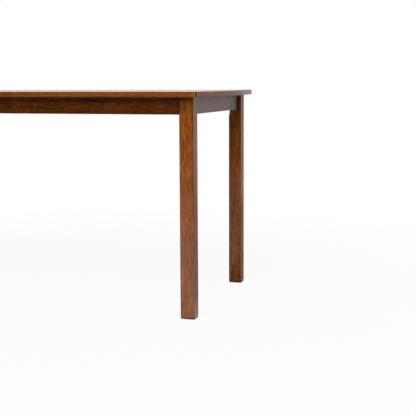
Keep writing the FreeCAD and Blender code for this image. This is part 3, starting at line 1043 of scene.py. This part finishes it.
picture_pixels = 416
film_width = 36  # in millimetres, as Blender counts it
camera_place = Vector((1.5232, -3.1421, 0.7826))
camera_focal = 921.08  # in pixels of the picture
camera_yaw, camera_pitch, camera_roll = 17.194, 7.839, -0.226  # degrees
background_white = 1.0
world_level = 0.02
backdrop_middle = (-0.30, 0.954, 0.0)  # direction of the white backdrop's middle
floor_reach = 3.0
foot_clearance = 3 * MM  # how far round a foot the floor keeps its dark contact
WHITE = (1, 1, 1, 1)
PALE_GREY = (0.55, 0.55, 0.55, 1)

# Place, point aimed at, width, height and power in watts
softboxes = {
    "high_softbox": ((0.4, -1.9, 3.2), (0.3, 0, 0.5), 1.2, 1.0, 58),
    "low_softbox": ((1.0, -2.9, 1.75), (0.5, 0, 0.4), 1.0, 0.6, 27),
    "side_softbox": ((3.2, 0.5, 1.3), (0.6, 0, 0.4), 1.0, 0.8, 20),
    "front_softbox": ((0.8, -2.2, 2.0), (0.3, 0, 0.4), 1.2, 0.8, 7),
    "rear_softbox": ((-1.2, 2.6, 1.9), (0, 0, 0.5), 1.8, 1.2, 24),
}


def photo_camera():
    """Camera at the photograph's place: turned by the yaw, tilted down by the pitch, then rolled."""
    yaw, pitch, roll = (math.radians(a) for a in (camera_yaw, camera_pitch, camera_roll))
    level = math.cos(pitch)
    sideways = Vector((math.cos(yaw), math.sin(yaw), 0))
    ahead = Vector((-math.sin(yaw) * level, math.cos(yaw) * level, -math.sin(pitch)))
    upright = sideways.cross(ahead)
    right = math.cos(roll) * sideways + math.sin(roll) * upright
    above = -math.sin(roll) * sideways + math.cos(roll) * upright
    data = bpy.data.cameras.new("photo_camera")
    data.sensor_width = film_width
    data.lens = film_width * camera_focal / picture_pixels
    camera = placed("photo_camera", data)
    turn = Matrix((right, above, -ahead)).transposed().to_4x4()
    camera.matrix_world = Matrix.Translation(camera_place) @ turn
    bpy.context.scene.camera = camera


def seen_white(tree, mirrored_share):
    """One for the camera's own rays, and a share for mirrored and transmitted ones."""
    path = put(tree, "LightPath").outputs
    mirrored = calc("MAXIMUM", path["Is Glossy Ray"], path["Is Transmission Ray"])
    return calc("MAXIMUM", path["Is Camera Ray"], times(mirrored, mirrored_share))


def mix_to(output, share, shader, other):
    """Sends a mix of two shaders to an output node."""
    mix = put_in_order("MixShader", share, shader.outputs[0], other.outputs[0])
    give(output.inputs["Surface"], mix[0])


def studio_world():
    """Soft light all round. The camera sees white. A reflection sees the white backdrop behind the
    table, which dims in two steps towards its sides and ends before the camera's side."""
    world = bpy.data.worlds.new("studio")
    world.use_nodes = True
    tree = world.node_tree
    tree.nodes.clear()
    soft = put(tree, "Background", Color=WHITE, Strength=world_level)
    white = put(tree, "Background", Color=WHITE, Strength=background_white)
    facing = vector_calc("DOT_PRODUCT", object_place(tree), backdrop_middle)
    around = ramp(facing, 0.10, 0.50, 0.0, 0.58)
    around = calc("SUBTRACT", around, ramp(facing, 0.70, 0.80, 0.0, 0.17))
    around = calc("ADD", around, ramp(facing, 0.84, 0.98, 0.0, 0.62))
    mix_to(put(tree, "OutputWorld"), seen_white(tree, around), soft, white)
    bpy.context.scene.world = world


def studio_floor():
    """Pale floor disc that shows white but for shadows at the feet, and whose mirror image in the
    table dims towards the back."""
    rings = np.r_[1 * MM, np.linspace(0.25, floor_reach, 12)][:, None]
    turn = np.radians(np.arange(0, 360, 7.5))
    points, faces = skin(stacked(rings * np.cos(turn), rings * np.sin(turn), 0.0)[::-1], ends="open")
    faces.append(list(range(len(points) - len(turn), len(points))))
    mesh = bpy.data.meshes.new("floor")
    mesh.from_pydata(points.tolist(), [], faces)
    material, tree = new_material("pale_floor")
    shader = tree.nodes["Principled BSDF"]
    give_all(shader, Base_Color=PALE_GREY, Roughness=0.9, Specular_IOR_Level=0.0)
    glow = put(tree, "Emission", Color=WHITE, Strength=background_white)
    place = object_place(tree)
    far = ramp(vector_calc("LENGTH", place), 0.9, 2.6, 0.95, 1.0)
    foot = Vector((leg_x - leg_size / 2, leg_y - leg_size / 2, 0))
    from_foot = vector_calc("SUBTRACT", vector_calc("ABSOLUTE", place), foot)
    parts = parts_of(vector_calc("ABSOLUTE", from_foot))
    clear = ramp(calc("MAXIMUM", parts["X"], parts["Y"]), leg_size / 2 - 1 * MM,
                 leg_size / 2 + foot_clearance)
    mirrored_share = ramp(parts_of(place)["Y"], -0.6, 0.1, 1.0, 0.07)
    white = times(far, clear, seen_white(tree, mirrored_share))
    mix_to(tree.nodes["Material Output"], white, shader, glow)
    mesh.materials.append(material)
    placed("floor", mesh)


def softbox(name, place, target, width, height, power):
    """Rectangular light that no reflection shows."""
    data = bpy.data.lights.new(name, "AREA")
    data.shape = "RECTANGLE"
    data.size, data.size_y, data.energy = width, height, power
    light = placed(name, data)
    light.location = place
    light.rotation_euler = (Vector(target) - Vector(place)).to_track_quat("-Z", "Y").to_euler()
    light.visible_glossy = False


build_legs()
build_lippings()
build_fasteners()
dress_solids()
photo_camera()
studio_world()
studio_floor()
for name, settings in softboxes.items():
    softbox(name, *settings)
bpy.context.scene.view_settings.view_transform = "Standard"
